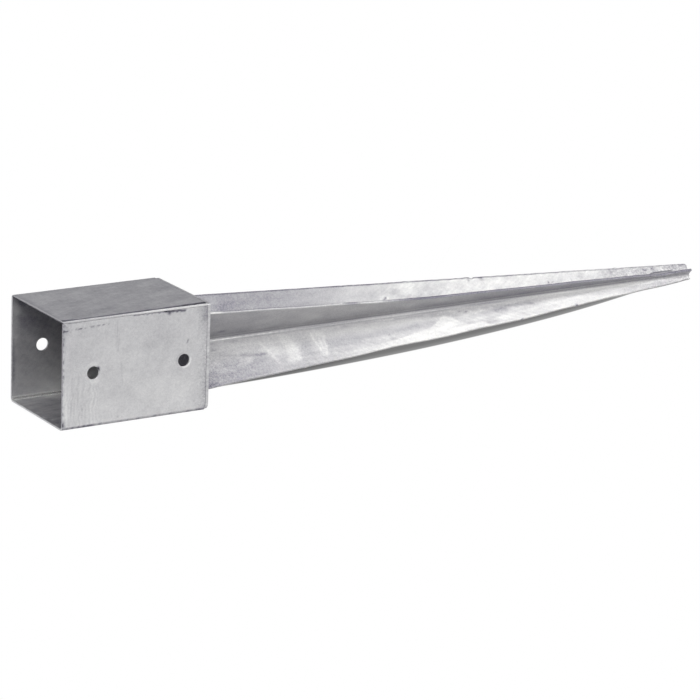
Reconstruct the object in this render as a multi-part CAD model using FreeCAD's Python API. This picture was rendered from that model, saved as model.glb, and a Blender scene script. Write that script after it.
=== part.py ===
import FreeCAD, Part
import os
from math import atan2, cos, degrees, pi, sin, sqrt

# Drive-in post spike, in millimetres. A square socket folded from one steel sheet is closed by a base
# plate, and a cross-shaped spike of two folded angles, back to back, is welded to that plate.
# The spike is drawn with its axis along X, the open end of the socket at x = 0, Y to the back and Z up.
# At the end every piece is tipped into the position in which the spike comes to rest on the ground.

# Socket
socket_width = 102.0            # outside, in both directions
socket_length = 150.0           # open rim to the outer face of the base plate
socket_sheet = 2.0
socket_fold_radius = 1.5        # inside the folds
seam_gap = 0.3                  # between the near wall's top edge and the sheet that laps over it

# Bolt holes, straight through both side walls
hole_diameter = 12.0
first_hole_from_rim = 31.0
second_hole_from_rim = 124.0

# Base plate
base_thickness = 2.5
base_corner_radius = 6.0

# Spike
spike_length = 600.0
spike_sheet = 2.5
spike_fold_radius = 2.5         # inside the folds
spine_gap = 0.2                 # between the backs of the two angles

# Fins: from the axis to the free edge at the base plate (root) and at the blunt tip, and how far
# the free edge bows out half way along. A negative bow is a hollow edge.
upper_front_root_reach = 53.0
upper_front_tip_reach = 9.0
upper_front_bow = -6.5
lower_front_root_reach = 51.0
lower_front_bow = 1.5
upper_back_root_reach = 50.0
upper_back_tip_reach = 10.5
upper_back_bow = 0.0
lower_back_root_reach = 51.0
lower_back_bow = 0.0
lower_tip_reach = 7.0           # both lower fins, whose ends touch the ground

# Weld beads
root_bead_radius = 3.0          # fins to base plate
root_bead_inset = 6.0           # bead end to the free edge of the fin
spine_bead_radius = 3.0         # angle to angle, in the grooves above and below the spine
spine_bead_length = 30.0
spine_bead_count = 4            # on each side
spine_bead_margin = 22.0        # from the base plate and from the tip
seam_bead_radius = 1.8          # along the seam, inside the socket
seam_bead_length = 18.0
seam_bead_count = 3
seam_bead_margin = 14.0         # from the rim and from the base plate

half_width = socket_width / 2
inner_half = half_width - socket_sheet
sleeve_length = socket_length - base_thickness
overall_length = socket_length + spike_length
spike_outer_fold = spike_fold_radius + spike_sheet
diagonal = sqrt(0.5)
# The outer face of a fin lies this far from the plane through the axis, because of the rounded fold.
fin_face_offset = spike_outer_fold * (1 - diagonal) - spine_gap * diagonal / 2

X_AXIS = FreeCAD.Vector(1, 0, 0)
Y_AXIS = FreeCAD.Vector(0, 1, 0)


def section_point(y, z, x=0.0):
    """A point given as it is seen along the spike's axis."""
    return FreeCAD.Vector(x, y, z)


def folded_section(corners):
    """Closed face across the axis from right-angled corners (y, z, radius); radius 0 is a sharp corner."""
    points = [section_point(y, z) for y, z, radius in corners]
    edges = []
    first_end = last_end = None
    for i, (y, z, radius) in enumerate(corners):
        corner = points[i]
        to_previous = (points[i - 1] - corner).normalize()
        to_next = (points[(i + 1) % len(points)] - corner).normalize()
        arc_start = corner + to_previous * radius
        arc_end = corner + to_next * radius
        if last_end is not None:
            edges.append(Part.LineSegment(last_end, arc_start).toShape())
        else:
            first_end = arc_start
        if radius > 0:
            arc_middle = corner + (to_previous + to_next) * (radius * (1 - diagonal))
            edges.append(Part.Arc(arc_start, arc_middle, arc_end).toShape())
        last_end = arc_end
    edges.append(Part.LineSegment(last_end, first_end).toShape())
    return Part.Face(Part.Wire(edges))


def socket_sleeve():
    """One sheet with three folds. Its last wall, the top, laps over the near wall's upper edge."""
    inner_fold = socket_fold_radius
    outer_fold = socket_fold_radius + socket_sheet
    near_wall_top = inner_half - seam_gap
    section = folded_section([
        (-half_width, near_wall_top, 0),
        (-half_width, -half_width, outer_fold),
        (half_width, -half_width, outer_fold),
        (half_width, half_width, outer_fold),
        (-half_width, half_width, 0),
        (-half_width, inner_half, 0),
        (inner_half, inner_half, inner_fold),
        (inner_half, -inner_half, inner_fold),
        (-inner_half, -inner_half, inner_fold),
        (-inner_half, near_wall_top, 0),
    ])
    sleeve = section.extrude(X_AXIS * sleeve_length)
    for distance in (first_hole_from_rim, second_hole_from_rim):
        drill = Part.makeCylinder(hole_diameter / 2, 2 * socket_width,
                                  section_point(-socket_width, 0, distance), Y_AXIS)
        sleeve = sleeve.cut(drill)
    return sleeve


def base_plate():
    """Plate over the end of the sleeve, flush with its walls, with well rounded corners."""
    radius = base_corner_radius
    section = folded_section([
        (-half_width, -half_width, radius),
        (half_width, -half_width, radius),
        (half_width, half_width, radius),
        (-half_width, half_width, radius),
    ])
    section.translate(X_AXIS * sleeve_length)
    return section.extrude(X_AXIS * base_thickness)


def fin(root_reach, tip_reach, bow):
    """Flat fin of an angle, standing up from the axis in +Z, with its outer face towards +Y.

    The free edge runs from the root's reach to the tip's reach on a parabola."""
    fold_line = spike_outer_fold * diagonal - spine_gap * diagonal / 2
    root_low = FreeCAD.Vector(socket_length, 0, fold_line)
    root_high = FreeCAD.Vector(socket_length, 0, root_reach)
    tip_high = FreeCAD.Vector(overall_length, 0, tip_reach)
    tip_low = FreeCAD.Vector(overall_length, 0, fold_line)
    pull = (root_high + tip_high) / 2 + FreeCAD.Vector(0, 0, 2 * bow)
    free_edge = Part.BezierCurve()
    free_edge.setPoles([root_high, pull, tip_high])
    outline = Part.Wire([
        Part.LineSegment(root_low, root_high).toShape(),
        free_edge.toShape(),
        Part.LineSegment(tip_high, tip_low).toShape(),
        Part.LineSegment(tip_low, root_low).toShape(),
    ])
    face = Part.Face(outline)
    face.translate(Y_AXIS * (fin_face_offset - spike_sheet))
    return face.extrude(Y_AXIS * spike_sheet)


def fold():
    """The quarter-round fold of an angle that opens towards -Y, with its back at the spine."""
    centre_y = -spike_outer_fold - spine_gap / 2

    def on_fold(radius, angle):
        return section_point(centre_y + radius * cos(angle), radius * sin(angle), socket_length)

    quarter = pi / 4
    outer = [on_fold(spike_outer_fold, angle) for angle in (-quarter, 0, quarter)]
    inner = [on_fold(spike_fold_radius, angle) for angle in (quarter, 0, -quarter)]
    section = Part.Face(Part.Wire([
        Part.Arc(*outer).toShape(),
        Part.LineSegment(outer[2], inner[0]).toShape(),
        Part.Arc(*inner).toShape(),
        Part.LineSegment(inner[2], outer[0]).toShape(),
    ]))
    return section.extrude(X_AXIS * spike_length)


def angle_piece(upper_fin, lower_fin):
    """A tapering sheet folded once to a right angle that opens towards -Y."""
    origin = FreeCAD.Vector()
    upper_fin.rotate(origin, X_AXIS, 45)
    lower_fin = lower_fin.mirror(origin, FreeCAD.Vector(0, 0, 1))
    lower_fin.rotate(origin, X_AXIS, -45)
    return fold().fuse([upper_fin, lower_fin]).removeSplitter()


def bead(start, end, radius):
    """Round weld bead, whole on all sides, that thins out over one radius beyond either end."""
    run = end - start
    body = Part.makeCylinder(radius, run.Length, start, run)
    tails = [Part.makeCone(radius, radius / 3, radius, end, run),
             Part.makeCone(radius, radius / 3, radius, start, -run)]
    return body.fuse(tails).removeSplitter()


def root_welds():
    """Quarter-round beads that join both faces of each fin to the base plate."""
    beads = []
    inner_end = spike_outer_fold + 2 * root_bead_radius
    room = socket_width
    fins = ((45, upper_front_root_reach), (135, lower_front_root_reach),
            (225, lower_back_root_reach), (315, upper_back_root_reach))
    for turn, root_reach in fins:
        outer_end = root_reach - root_bead_inset
        # An angle's outer face looks up and down, its inner face to the front or back.
        offsets = (fin_face_offset, fin_face_offset - spike_sheet)
        outer_side = 1 if turn in (45, 225) else -1
        for offset, side in zip(offsets, (1, -1)):
            y = outer_side * offset
            whole = bead(section_point(y, inner_end, socket_length),
                         section_point(y, outer_end, socket_length), root_bead_radius)
            corner_y = y if outer_side * side > 0 else y - room
            open_side = Part.makeBox(room, room, room, section_point(corner_y, 0, socket_length))
            quarter = whole.common(open_side)
            quarter.rotate(FreeCAD.Vector(), X_AXIS, turn)
            beads.append(quarter)
    return Part.makeCompound(beads)


def spaced(first, last, count):
    """Starts of count beads, evenly spaced from first to last."""
    step = (last - first) / (count - 1) if count > 1 else 0.0
    return [first + i * step for i in range(count)]


def spine_welds(front, back):
    """Stitches that fill the grooves between the two angles, above and below the spine."""
    beads = []
    height = fin_face_offset / diagonal + spine_bead_radius / 2
    first = socket_length + spine_bead_margin
    last = overall_length - spine_bead_margin - spine_bead_length
    for x in spaced(first, last, spine_bead_count):
        for side in (1, -1):
            whole = bead(section_point(0, side * height, x),
                         section_point(0, side * height, x + spine_bead_length), spine_bead_radius)
            stitch = whole.cut([front, back])
            beads.append(max(stitch.Solids, key=lambda solid: solid.Volume))
    return Part.makeCompound(beads)


def seam_welds():
    """Stitches inside the socket along the corner where the top laps over the near wall."""
    beads = []
    first = seam_bead_margin
    last = sleeve_length - seam_bead_margin - seam_bead_length
    room = 4 * seam_bead_radius
    for x in spaced(first, last, seam_bead_count):
        whole = bead(section_point(-inner_half, inner_half, x),
                     section_point(-inner_half, inner_half, x + seam_bead_length), seam_bead_radius)
        open_corner = Part.makeBox(seam_bead_length + 2 * room, room, room,
                                   section_point(-inner_half, inner_half - room, x - room))
        beads.append(whole.common(open_corner))
    return Part.makeCompound(beads)


def resting(shape):
    """Tip a piece until the lower edge of the base plate and the two lower fins touch the ground.

    The ground is then z = 0, and the middle of the part's outline on it is the origin."""
    tip_drop = (lower_tip_reach + fin_face_offset) * diagonal
    tip_rise = (max(upper_front_tip_reach, upper_back_tip_reach) + fin_face_offset) * diagonal
    tilt = atan2(half_width - tip_drop, spike_length)
    corners = [(0.0, half_width), (0.0, -half_width), (overall_length, tip_rise)]
    reach = [x * cos(tilt) + z * sin(tilt) for x, z in corners]
    ground = half_width * cos(tilt) + socket_length * sin(tilt)
    shape.rotate(FreeCAD.Vector(), Y_AXIS, degrees(tilt))
    shape.translate(FreeCAD.Vector(-(min(reach) + max(reach)) / 2, 0, ground))
    return shape


front_angle = angle_piece(
    fin(upper_front_root_reach, upper_front_tip_reach, upper_front_bow),
    fin(lower_front_root_reach, lower_tip_reach, lower_front_bow))
back_angle = angle_piece(
    fin(upper_back_root_reach, upper_back_tip_reach, upper_back_bow),
    fin(lower_back_root_reach, lower_tip_reach, lower_back_bow)).mirror(FreeCAD.Vector(), Y_AXIS)

pieces = {
    "socket_sleeve": socket_sleeve(),
    "base_plate": base_plate(),
    "front_angle": front_angle,
    "back_angle": back_angle,
    "root_welds": root_welds(),
    "spine_welds": spine_welds(front_angle, back_angle),
    "seam_welds": seam_welds(),
}

os.makedirs("parts", exist_ok=True)
for name, shape in pieces.items():
    resting(shape).exportStep(os.path.join("parts", name + ".step"))
    print(name, len(shape.Solids), "solids", round(shape.Volume), "mm3", shape.isValid())
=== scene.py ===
# A drive-in post spike, hot-dip galvanised, lying on a pale floor. Lengths are metres unless a name says
# otherwise. Along the spike, "along" runs from the open end of the socket (0) to the blunt tip.
import math
import bpy
import numpy as np
from mathutils import Matrix, Vector


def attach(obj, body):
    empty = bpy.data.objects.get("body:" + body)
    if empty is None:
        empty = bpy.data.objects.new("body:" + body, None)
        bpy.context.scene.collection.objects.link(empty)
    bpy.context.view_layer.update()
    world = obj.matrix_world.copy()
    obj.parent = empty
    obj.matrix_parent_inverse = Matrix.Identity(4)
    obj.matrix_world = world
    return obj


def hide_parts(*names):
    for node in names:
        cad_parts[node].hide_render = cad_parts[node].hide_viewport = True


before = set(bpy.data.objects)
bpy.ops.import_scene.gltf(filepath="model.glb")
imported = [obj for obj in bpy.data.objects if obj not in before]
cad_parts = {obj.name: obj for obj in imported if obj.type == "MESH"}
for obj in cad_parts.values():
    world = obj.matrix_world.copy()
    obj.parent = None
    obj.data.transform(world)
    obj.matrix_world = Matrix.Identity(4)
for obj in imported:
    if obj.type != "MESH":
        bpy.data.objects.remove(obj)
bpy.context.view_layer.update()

# Camera. It stands in front of the open end, a little above the spike, and looks with a long lens at
# the middle of the part.
camera_place = Vector((-1.5264407, -2.3859447, 0.9553404))
camera_target = Vector((-0.0385127, 0.0, 0.0063355))
camera_roll = math.radians(-1.50632)
camera = bpy.data.objects.new("camera", bpy.data.cameras.new("camera"))
bpy.context.scene.collection.objects.link(camera)
camera.data.sensor_width = 36.0
camera.data.lens = 158.55479
camera.data.clip_end = 100.0
camera.location = camera_place
level = (camera_target - camera_place).to_track_quat("-Z", "Y").to_matrix()
camera.rotation_euler = (level @ Matrix.Rotation(camera_roll, 3, "Z")).to_euler()
bpy.context.scene.camera = camera
bpy.context.scene.view_settings.view_transform = "Standard"

# Floor. A wide matt white sheet at the height of the ground. It shows pure white where it is open to
# the room, and grey in the narrow contact shadow that gathers close under the part.
floor_half = 25.0
floor_mesh = bpy.data.meshes.new("floor")
floor_mesh.from_pydata([(-floor_half, -floor_half, 0), (floor_half, -floor_half, 0),
                        (floor_half, floor_half, 0), (-floor_half, floor_half, 0)], [], [(0, 1, 2, 3)])
floor = bpy.data.objects.new("floor", floor_mesh)
bpy.context.scene.collection.objects.link(floor)


def new_material(name):
    """An empty material with its output node; returns the material and its node tree."""
    material = bpy.data.materials.new(name)
    material.use_nodes = True
    tree = material.node_tree
    tree.nodes.clear()
    tree.nodes.new("ShaderNodeOutputMaterial")
    return material, tree


def add_node(tree, kind, settings=None, **inputs):
    """Adds a node, sets its properties, and sets or links each input given by name (_ for a space)."""
    node = tree.nodes.new(kind)
    for key, value in (settings or {}).items():
        setattr(node, key, value)
    for key, value in inputs.items():
        socket = node.inputs[int(key[1:])] if key[1:].isdigit() else node.inputs[key.replace("_", " ")]
        if isinstance(value, bpy.types.NodeSocket):
            tree.links.new(value, socket)
        else:
            socket.default_value = value
    return node


def maths(tree, operation, first, second=0.0, clamp=False):
    """One Math node; returns its output."""
    settings = {"operation": operation, "use_clamp": clamp}
    return add_node(tree, "ShaderNodeMath", settings, _0=first, _1=second).outputs[0]


def remap(tree, value, low, high, to_low=0.0, to_high=1.0):
    """Smoothly carries value from the range low..high to to_low..to_high, and holds it there."""
    settings = {"interpolation_type": "SMOOTHSTEP"}
    return add_node(tree, "ShaderNodeMapRange", settings, Value=value, From_Min=low, From_Max=high,
                    To_Min=to_low, To_Max=to_high).outputs[0]


# The shadow runs from under the socket almost to the tip. Its front edge, under the lower front fin, is a
# flat arc: it reaches furthest forward at widest_place, and draws back as the square of the distance from
# there, times one bend towards the open end and another towards the tip.
shadow_reach = 0.045
open_end_fade = (-0.232, -0.205)
tip_fade = (0.288, 0.312)
widest_place = 0.105
widest_front = -0.0238
open_end_bend = 0.268
tip_bend = 0.493
tip_draw_back = 0.0018
edge_softness = 0.0014
shade_under_socket = 0.92
shade_under_spike = 0.81
floor_material, tree = new_material("matt_white_floor")
open_sky = add_node(tree, "ShaderNodeAmbientOcclusion", {"samples": 16}, Distance=shadow_reach).outputs["AO"]
close_under = remap(tree, open_sky, 0.64, 0.93, 1.0, 0.0)
floor_place = add_node(tree, "ShaderNodeTexCoord").outputs["Object"]
floor_x, floor_y, _ = add_node(tree, "ShaderNodeSeparateXYZ", _0=floor_place).outputs
under_part = maths(tree, "MULTIPLY", remap(tree, floor_x, *open_end_fade, 0.0, 1.0),
                   remap(tree, floor_x, *tip_fade, 1.0, 0.0))
off_widest = maths(tree, "SUBTRACT", floor_x, widest_place)
arc_bend = remap(tree, floor_x, widest_place - 0.001, widest_place + 0.001, open_end_bend, tip_bend)
arc_line = maths(tree, "MULTIPLY", maths(tree, "MULTIPLY", off_widest, off_widest), arc_bend)
arc_line = maths(tree, "ADD", arc_line, widest_front)
arc_line = maths(tree, "ADD", arc_line, remap(tree, floor_x, 0.0, 0.16, 0.0, tip_draw_back))
behind_arc = maths(tree, "SUBTRACT", floor_y, arc_line)
behind_arc = maths(tree, "MULTIPLY", remap(tree, behind_arc, -edge_softness, edge_softness),
                   remap(tree, behind_arc, 0.0, 0.012, 0.88, 1.0))
shadow_depth = maths(tree, "MULTIPLY", under_part,
                     remap(tree, floor_x, -0.16, 0.0, shade_under_socket, shade_under_spike))
shade = maths(tree, "MULTIPLY", maths(tree, "MULTIPLY", close_under, behind_arc), shadow_depth)
whiteness = maths(tree, "SUBTRACT", 1.0, shade)
path = add_node(tree, "ShaderNodeLightPath")
mirrored_whiteness = remap(tree, open_sky, 0.15, 0.75, 0.25, 1.0)
seen_whiteness = add_node(tree, "ShaderNodeMix", _0=path.outputs["Is Camera Ray"], _2=mirrored_whiteness,
                          _3=whiteness).outputs[0]
shown = maths(tree, "MAXIMUM", path.outputs["Is Camera Ray"],
              maths(tree, "MAXIMUM", path.outputs["Is Glossy Ray"], path.outputs["Is Transmission Ray"]))
matt = add_node(tree, "ShaderNodeBsdfDiffuse", Color=(0.8, 0.8, 0.8, 1.0)).outputs[0]
white = add_node(tree, "ShaderNodeEmission", Color=(1.0, 1.0, 1.0, 1.0), Strength=seen_whiteness).outputs[0]
blend = add_node(tree, "ShaderNodeMixShader", _0=shown, _1=matt, _2=white).outputs[0]
tree.links.new(blend, tree.nodes["Material Output"].inputs["Surface"])
floor_mesh.materials.append(floor_material)

# Light. Five soft boxes: one high beyond the tip, one high before the open end, one in front, a dim one
# low before the open end and a dim one behind, with a dim grey room round them.
lit_place = Vector((0.05, 0.0, 0.05))


def soft_box(name, place, width, height, power):
    """A rectangular soft box at place, turned to the lit place near the middle of the part."""
    box = bpy.data.objects.new(name, bpy.data.lights.new(name, "AREA"))
    bpy.context.scene.collection.objects.link(box)
    box.data.shape = "RECTANGLE"
    box.data.size, box.data.size_y, box.data.energy = width, height, power
    box.location = place
    box.rotation_euler = (lit_place - box.location).to_track_quat("-Z", "Y").to_euler()


soft_box("box_beyond_tip", (1.70, -0.53, 1.50), 0.55, 1.0, 7.9)
soft_box("box_open_end", (-0.95, -0.70, 1.28), 0.7, 0.7, 15.4)
soft_box("box_front", (0.55, -1.80, 1.60), 2.4, 0.8, 32.0)
soft_box("box_low", (-1.60, -0.35, 0.42), 0.6, 0.6, 1.7)
soft_box("box_behind", (0.60, 2.00, 0.90), 2.0, 0.8, 2.5)
room = bpy.data.worlds.new("room")
room.use_nodes = True
room.node_tree.nodes["Background"].inputs["Color"].default_value = (0.174, 0.174, 0.190, 1.0)
bpy.context.scene.world = room

# Socket. One sheet, 2 mm thick, folded three times into a square box that holds the post. Its last
# wall, the top, laps over the upper edge of the near wall. Two bolt holes go through both sides.
socket_width = 0.102
socket_length = 0.150
socket_sheet = 0.002
socket_fold = 0.0015
seam_gap = 0.0003
plate_thickness = 0.0025
hole_radius = 0.006
hole_places = (0.031, 0.124)
spike_length = 0.600
spike_sheet = 0.0025
spike_fold = 0.0025
spine_gap = 0.0002
lower_tip_reach = 0.007
widest_tip_reach = 0.0105

# It lies on the plate's lower edge and the tips of the two lower fins, whose faces stand fin_offset off
# the diagonals. That tilts it. The middle of its reach along the ground goes to 0, and the middle of the
# open end stands at the height ground.
diagonal = math.sqrt(0.5)
fin_offset = (spike_fold + spike_sheet) * (1 - diagonal) - spine_gap * diagonal / 2
half_width = socket_width / 2
tilt = math.atan2(half_width - (lower_tip_reach + fin_offset) * diagonal, spike_length)
far_end = (socket_length + spike_length) * math.cos(tilt)
far_end += (widest_tip_reach + fin_offset) * diagonal * math.sin(tilt)
middle = (far_end - half_width * math.sin(tilt)) / 2
ground = half_width * math.cos(tilt) + socket_length * math.sin(tilt)


def tipped(along, across, up):
    """Points given along the spike's axis, in the resting pose: turned by the tilt, then moved."""
    return np.stack([along * math.cos(tilt) + up * math.sin(tilt) - middle,
                     across,
                     -along * math.sin(tilt) + up * math.cos(tilt) + ground], axis=-1)


def ease(low, high, value):
    """0 at low and before it, 1 at high and beyond, and a cubic ease between."""
    share = np.clip((value - low) / (high - low), 0.0, 1.0)
    return share * share * (3 - 2 * share)


def ripple(seed, *coordinates):
    """Smooth noise from -1 to 1: the mean of eight sine waves of seeded direction and phase."""
    draw = np.random.default_rng(seed)
    total = 0.0
    for wave in range(8):
        angle = draw.uniform(0, 2 * np.pi)
        for coordinate in coordinates:
            angle = angle + coordinate * draw.uniform(-2.5, 2.5)
        total = total + np.sin(angle)
    return total / 5.0


def bend_path(start, heading, runs):
    """The middle line of a folded sheet, as a function of the developed distance along it.

    Each run is (length, turn): straight where turn is 0, else an arc that turns by that angle. The function
    gives a point across and up, and the unit normal on the left of travel. It carries on past both ends."""
    def follow(distance):
        across = np.full_like(distance, start[0])
        up = np.full_like(distance, start[1])
        facing = np.full_like(distance, heading)
        begun = 0.0
        for number, (length, turn) in enumerate(runs):
            low = -1.0 if number == 0 else 0.0
            high = 1.0 if number == len(runs) - 1 else length
            inside = np.clip(distance - begun, low, high)
            if turn == 0:
                across = across + np.cos(facing) * inside
                up = up + np.sin(facing) * inside
            else:
                bent = facing + inside * turn / length
                across = across + length / turn * (np.sin(bent) - np.sin(facing))
                up = up - length / turn * (np.cos(bent) - np.cos(facing))
                facing = bent
            begun += length
        return across, up, -np.sin(facing), np.cos(facing)
    return follow


def run_columns(first, last, spacing, guard):
    """Places from first to last about spacing apart, with one more a guard's width inside either end."""
    count = max(2, int(round((last - first) / spacing)) + 1)
    inner = np.linspace(first, last, count)[1:-1]
    return np.concatenate([[first, first + guard], inner, [last - guard, last]])


def sheet_blank(along, developed, thickness, edge_radius):
    """The closed surface of a flat sheet, as a loop round its section at each station along it.

    along and developed are grids, stations by columns, of places on the blank out to its cut edges. A loop
    point is a core point plus edge_radius times the outward direction, whose angle turns through half a
    circle at either cut edge, in eight points. Over the last edge_radius of either end the loop shrinks on
    to its core."""
    last = along.shape[1] - 1
    inner = np.arange(1, last)
    steps = np.radians([0, 30, 60, 90])
    turn = np.concatenate([0.0 * inner, steps, np.pi / 2 + steps, np.pi + 0.0 * inner,
                           np.pi + steps, 1.5 * np.pi + steps])
    side = np.repeat([1, 1, -1, -1, -1, 1], [last - 1, 4, 4, last - 1, 4, 4])
    column = np.concatenate([inner, [last] * 8, inner[::-1], [0] * 8])
    inset = edge_radius * ((column == 0) * 1.0 - (column == last) * 1.0)
    ends = np.radians([80, 50, 20])
    count = len(along)
    station = np.concatenate([[0] * 3, np.arange(count), [count - 1] * 3])
    shrink = np.concatenate([np.cos(ends), np.ones(count), np.cos(ends[::-1])])[:, None] * edge_radius
    end_inset = np.zeros(count + 6)
    end_inset[:4] = edge_radius * (1 - np.append(np.sin(ends), 0.0))
    end_inset[-4:] = -end_inset[3::-1]
    blank_along = along[station][:, column] + end_inset[:, None]
    blank_developed = developed[station][:, column] + inset + shrink * np.sin(turn)
    blank_depth = (thickness / 2 - edge_radius) * side + shrink * np.cos(turn)
    return np.stack([blank_along, blank_developed, blank_depth], axis=-1)


def tube_faces(count, points):
    """Quads between neighbouring loops of a closed tube, and fans from its two poles to its end loops. The
    poles are the points that follow the last loop."""
    index = np.arange(count * points).reshape(count, points)
    after = np.roll(index, -1, axis=1)
    quads = np.stack([index[:-1], index[1:], after[1:], after[:-1]], axis=-1)
    first, last = np.full(points, index.size), np.full(points, index.size + 1)
    fans = np.concatenate([np.stack([first, index[0], after[0]], axis=-1),
                           np.stack([last, after[-1], index[-1]], axis=-1)])
    return quads, fans


def below(columns, number):
    """The number in its loop of the point straight below the given one, past the eight round the edge."""
    return 2 * columns + 7 - number


def blank_faces(blank):
    """Quads between neighbouring loops of a blank, and strips across its core at both ends."""
    count, points = blank.shape[:2]
    walls, _ = tube_faces(count, points)
    half = points // 2 - 8
    upper = np.arange(-4, half + 4)
    lower = below(half, upper)
    near = np.arange(points)
    far = near + (count - 1) * points
    near_cap = np.stack([near[upper[:-1]], near[upper[1:]], near[lower[1:]], near[lower[:-1]]], axis=-1)
    far_cap = np.stack([far[upper[:-1]], far[lower[:-1]], far[lower[1:]], far[upper[1:]]], axis=-1)
    return walls, np.concatenate([near_cap, far_cap])


def drilled(blank, walls, places, radius, rim, reach, depth):
    """Cuts round holes in both faces of a blank. A block of cells round each place gives way to rings that
    pass from the block's outline to the circle, over the rounded rim, through the sheet and out again.

    Returns all the points, and lists of the quads that are left and of those in the holes."""
    index = np.arange(blank.shape[0] * blank.shape[1]).reshape(blank.shape[:2])
    half = blank.shape[1] // 2 - 8
    points, faces = [blank.reshape(-1, 3)], []
    left_out = np.zeros(walls.shape[:2], dtype=bool)
    for place in places:
        rows = np.flatnonzero(np.abs(blank[:, half // 2, 0] - place[0]) < reach)
        cells = np.flatnonzero(np.abs(blank[len(blank) // 2, :half, 1] - place[1]) < reach)
        low, high, left, right = rows[0], rows[-1], cells[0], cells[-1]
        left_out[low:high, left:right] = True
        left_out[low:high, below(half, right):below(half, left)] = True
        outline = [(row, left) for row in range(low, high)] + [(high, cell) for cell in range(left, right)]
        outline += [(row, right) for row in range(high, low, -1)]
        outline += [(low, cell) for cell in range(right, left, -1)]
        rows, cells = np.array(outline).T
        offset = blank[rows, cells, :2] - place
        distance = np.hypot(offset[:, 0], offset[:, 1])
        edge = radius + rim
        rings = [(edge + (distance - edge) * share, depth) for share in (0.7, 0.4, 0.12, 0.0)]
        for angle in np.radians([60, 30, 0]):
            rings.append((edge - rim * np.cos(angle) + 0 * distance, depth - rim + rim * np.sin(angle)))
        rings += [(length, -level) for length, level in reversed(rings)]
        previous = index[rows, cells]
        for length, level in rings:
            ring = place + offset * (length / distance)[:, None]
            number = sum(map(len, points)) + np.arange(len(ring))
            points.append(np.column_stack([ring, np.full(len(ring), level)]))
            faces.append(np.stack([previous, np.roll(previous, -1), np.roll(number, -1), number], axis=-1))
            previous = number
        back = index[rows, below(half, cells)]
        faces.append(np.stack([previous, np.roll(previous, -1), np.roll(back, -1), back], axis=-1))
    return np.concatenate(points), walls[~left_out], np.concatenate(faces)


def folded(sheet, follow):
    """Sheet coordinates (along, developed, depth) carried on to the folded sheet in its resting pose."""
    across, up, normal_across, normal_up = follow(sheet[:, 1])
    return tipped(sheet[:, 0], across + sheet[:, 2] * normal_across, up + sheet[:, 2] * normal_up)


def outward_mesh(name, points, *faces):
    """A mesh object of quads, and of triangles where a fan closes a pole. It is turned outwards by the sign
    of the volume that its faces enclose."""
    faces = [corners.reshape(-1, corners.shape[-1]) for corners in faces]
    volume = 0.0
    for corners in faces:
        corners = points[corners]
        crossed = np.cross(corners[:, 2] - corners[:, 0], corners[:, -1] - corners[:, 1])
        volume += np.sum(corners.mean(axis=1) * crossed)
    if volume < 0:
        faces = [corners[:, ::-1] for corners in faces]
    loops = np.concatenate([corners.ravel() for corners in faces])
    sizes = np.concatenate([np.full(len(corners), corners.shape[1]) for corners in faces])
    mesh = bpy.data.meshes.new(name)
    mesh.vertices.add(len(points))
    mesh.vertices.foreach_set("co", points.astype(np.float32).ravel())
    mesh.loops.add(len(loops))
    mesh.loops.foreach_set("vertex_index", loops.astype(np.int32))
    mesh.polygons.add(len(sizes))
    mesh.polygons.foreach_set("loop_start", (np.cumsum(sizes) - sizes).astype(np.int32))
    mesh.polygons.foreach_set("use_smooth", np.ones(len(sizes), dtype=bool))
    mesh.update(calc_edges=True)
    mesh.validate()
    piece = bpy.data.objects.new(name, mesh)
    bpy.context.scene.collection.objects.link(piece)
    return piece


def paint(piece, sheet, tone, grime):
    """Stores what the finish reads at each vertex: its place on the flat sheet, how much brighter or darker
    it is painted there, from the zinc's own tone and from painted light and shade, and how strong its grain
    and dark specks are."""
    piece.data.attributes.new("sheet", "FLOAT_VECTOR", "POINT").data.foreach_set(
        "vector", sheet.astype(np.float32).ravel())
    for name, values in (("tone", tone), ("grime", grime)):
        piece.data.attributes.new(name, "FLOAT", "POINT").data.foreach_set("value", values.astype(np.float32))


def band(low, full, fading, high, value):
    """1 from full to fading, 0 outside low..high, and a cubic ease between."""
    return ease(low, full, value) * ease(high, fading, value)


def bell(middle, reach, value):
    """A bell curve: 1 at the middle, and about a third at reach from it."""
    return np.exp(-((value - middle) / reach) ** 2)


def patches(u, v, *spots):
    """A sum of soft oval patches, each (u, v, half length, half width, strength): bell curves of the
    distance from the middle."""
    return sum(strength * bell(a, p, u) * bell(b, q, v) for a, b, p, q, strength in spots)


def strokes(u, v, *lines):
    """A sum of soft strokes, each (u, v, u, v and so on, half width, strength): bell curves of the distance
    from the chain of straight lines through the places."""
    total = 0.0
    for *places, width, strength in lines:
        nearest = np.inf
        for ua, va, ub, vb in zip(places[:-2:2], places[1:-2:2], places[2::2], places[3::2]):
            run_u, run_v = ub - ua, vb - va
            share = np.clip(((u - ua) * run_u + (v - va) * run_v) / (run_u ** 2 + run_v ** 2), 0, 1)
            nearest = np.minimum(nearest, (u - ua - share * run_u) ** 2 + (v - va - share * run_v) ** 2)
        total = total + strength * np.exp(-nearest / width ** 2)
    return total


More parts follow.
